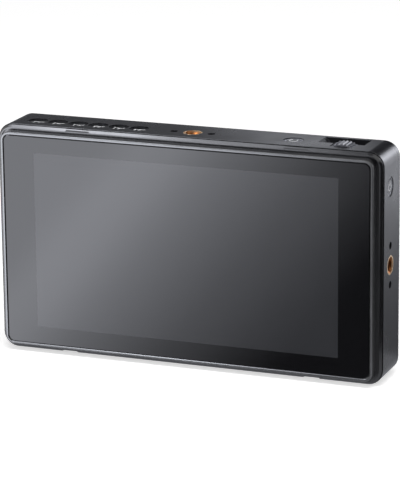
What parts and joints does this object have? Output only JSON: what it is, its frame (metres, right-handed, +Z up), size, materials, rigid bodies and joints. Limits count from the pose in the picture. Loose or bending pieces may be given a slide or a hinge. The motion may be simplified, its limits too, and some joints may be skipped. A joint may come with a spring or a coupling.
{
  "type": "camera field monitor",
  "caption": "Slim camera-top field monitor: bezelled glass front with a hood groove, top push buttons, scroll wheel, brass thread inserts, side ports and a slide-on battery plate behind.",
  "frame": {"origin": "centre of the bounding box's bottom: the middle of the lower edge it stands on", "axes": "+X to the viewer's right along the long side, +Y back from the glass to the battery plate, +Z up"},
  "size_m": [0.1544, 0.03, 0.0898],
  "materials": {
    "black_glass": "polished black cover glass",
    "bezel_metal": "dark anodised, satin",
    "foam": "black adhesive foam",
    "panel_glass": "smooth",
    "steel_sheet": "bright pressed sheet",
    "flex_film": "amber film",
    "frame_plastic": "black, semi-gloss",
    "steel_screws": "bright",
    "black_screws": "black zinc",
    "housing_metal": "fine dark grey satin coat",
    "plate_plastic": "fine grain",
    "gold_contacts": "gold plated",
    "wire_cover": "smooth",
    "spring_steel": "bright drawn",
    "board_laminate": "green solder mask",
    "chip_plastic": "moulded",
    "heat_aluminium": "plain extruded",
    "button_plastic": "dark grey, satin",
    "wheel_plastic": "black, knurled",
    "carriage_plastic": "natural acetal",
    "brass": "turned",
    "port_steel": "bright shell",
    "jack_plastic": "moulded black"
  },
  "bodies": {
    "monitor_body": {"cover_glass": "black_glass", "screen_bezel": "bezel_metal", "panel_gasket": "foam", "lcd_panel": "panel_glass", "backlight_unit": "steel_sheet", "display_flex": "flex_film", "front_frame": "frame_plastic", "front_frame_screws": "steel_screws", "main_housing": "housing_metal", "rear_cover": "housing_metal", "rear_cover_screws": "black_screws", "battery_plate": "plate_plastic", "battery_plate_screws": "black_screws", "contact_block": "plate_plastic", "battery_contacts": "gold_contacts", "battery_leads": "wire_cover", "latch_spring": "spring_steel", "latch_retainer": "steel_sheet", "retainer_screws": "steel_screws", "main_board": "board_laminate", "board_components": "chip_plastic", "board_screws": "steel_screws", "heat_spreader": "heat_aluminium", "key_boards": "board_laminate", "key_switches": "steel_sheet", "wheel_bracket": "steel_sheet", "wheel_switch": "steel_sheet", "power_board": "board_laminate", "power_switch": "steel_sheet", "top_thread_insert": "brass", "side_thread_insert": "brass", "bottom_thread_insert": "brass", "video_output": "port_steel", "video_input": "port_steel", "data_port": "port_steel", "supply_jack": "jack_plastic", "headphone_jack": "jack_plastic"},
    "function_button_1": {"function_button_1": "button_plastic"},
    "function_button_2": {"function_button_2": "button_plastic"},
    "function_button_3": {"function_button_3": "button_plastic"},
    "function_button_4": {"function_button_4": "button_plastic"},
    "function_button_5": {"function_button_5": "button_plastic"},
    "function_button_6": {"function_button_6": "button_plastic"},
    "return_button": {"return_button": "button_plastic"},
    "power_button": {"power_button": "button_plastic"},
    "wheel_carriage": {"wheel_carriage": "carriage_plastic", "wheel_encoder": "chip_plastic"},
    "scroll_wheel": {"scroll_wheel": "wheel_plastic", "wheel_axle": "spring_steel"},
    "battery_latch": {"battery_latch": "plate_plastic"}
  },
  "joints": [
    {"name": "function_button_1_press", "type": "slide", "parent": "monitor_body", "child": "function_button_1", "axis": [0, 0, -1], "range_m": [0, 0.0006], "stiffness_N_per_m": 1200},
    {"name": "function_button_2_press", "type": "slide", "parent": "monitor_body", "child": "function_button_2", "axis": [0, 0, -1], "range_m": [0, 0.0006], "stiffness_N_per_m": 1200},
    {"name": "function_button_3_press", "type": "slide", "parent": "monitor_body", "child": "function_button_3", "axis": [0, 0, -1], "range_m": [0, 0.0006], "stiffness_N_per_m": 1200},
    {"name": "function_button_4_press", "type": "slide", "parent": "monitor_body", "child": "function_button_4", "axis": [0, 0, -1], "range_m": [0, 0.0006], "stiffness_N_per_m": 1200},
    {"name": "function_button_5_press", "type": "slide", "parent": "monitor_body", "child": "function_button_5", "axis": [0, 0, -1], "range_m": [0, 0.0006], "stiffness_N_per_m": 1200},
    {"name": "function_button_6_press", "type": "slide", "parent": "monitor_body", "child": "function_button_6", "axis": [0, 0, -1], "range_m": [0, 0.0006], "stiffness_N_per_m": 1200},
    {"name": "return_button_press", "type": "slide", "parent": "monitor_body", "child": "return_button", "axis": [0, 0, -1], "range_m": [0, 0.0006], "stiffness_N_per_m": 1200},
    {"name": "power_button_press", "type": "slide", "parent": "monitor_body", "child": "power_button", "axis": [-1, 0, 0], "range_m": [0, 0.0006], "stiffness_N_per_m": 1200},
    {"name": "wheel_press", "type": "slide", "parent": "monitor_body", "child": "wheel_carriage", "axis": [0, 0, -1], "range_m": [0, 0.0004], "stiffness_N_per_m": 1500},
    {"name": "wheel_turn", "type": "hinge", "parent": "wheel_carriage", "child": "scroll_wheel", "pos_m": [0.0593, 0, 0.0818], "axis": [0, 1, 0], "continuous": true},
    {"name": "battery_latch_press", "type": "slide", "parent": "monitor_body", "child": "battery_latch", "axis": [0, -1, 0], "range_m": [0, 0.0018], "stiffness_N_per_m": 500, "deforming": ["latch_spring"]}
  ]
}
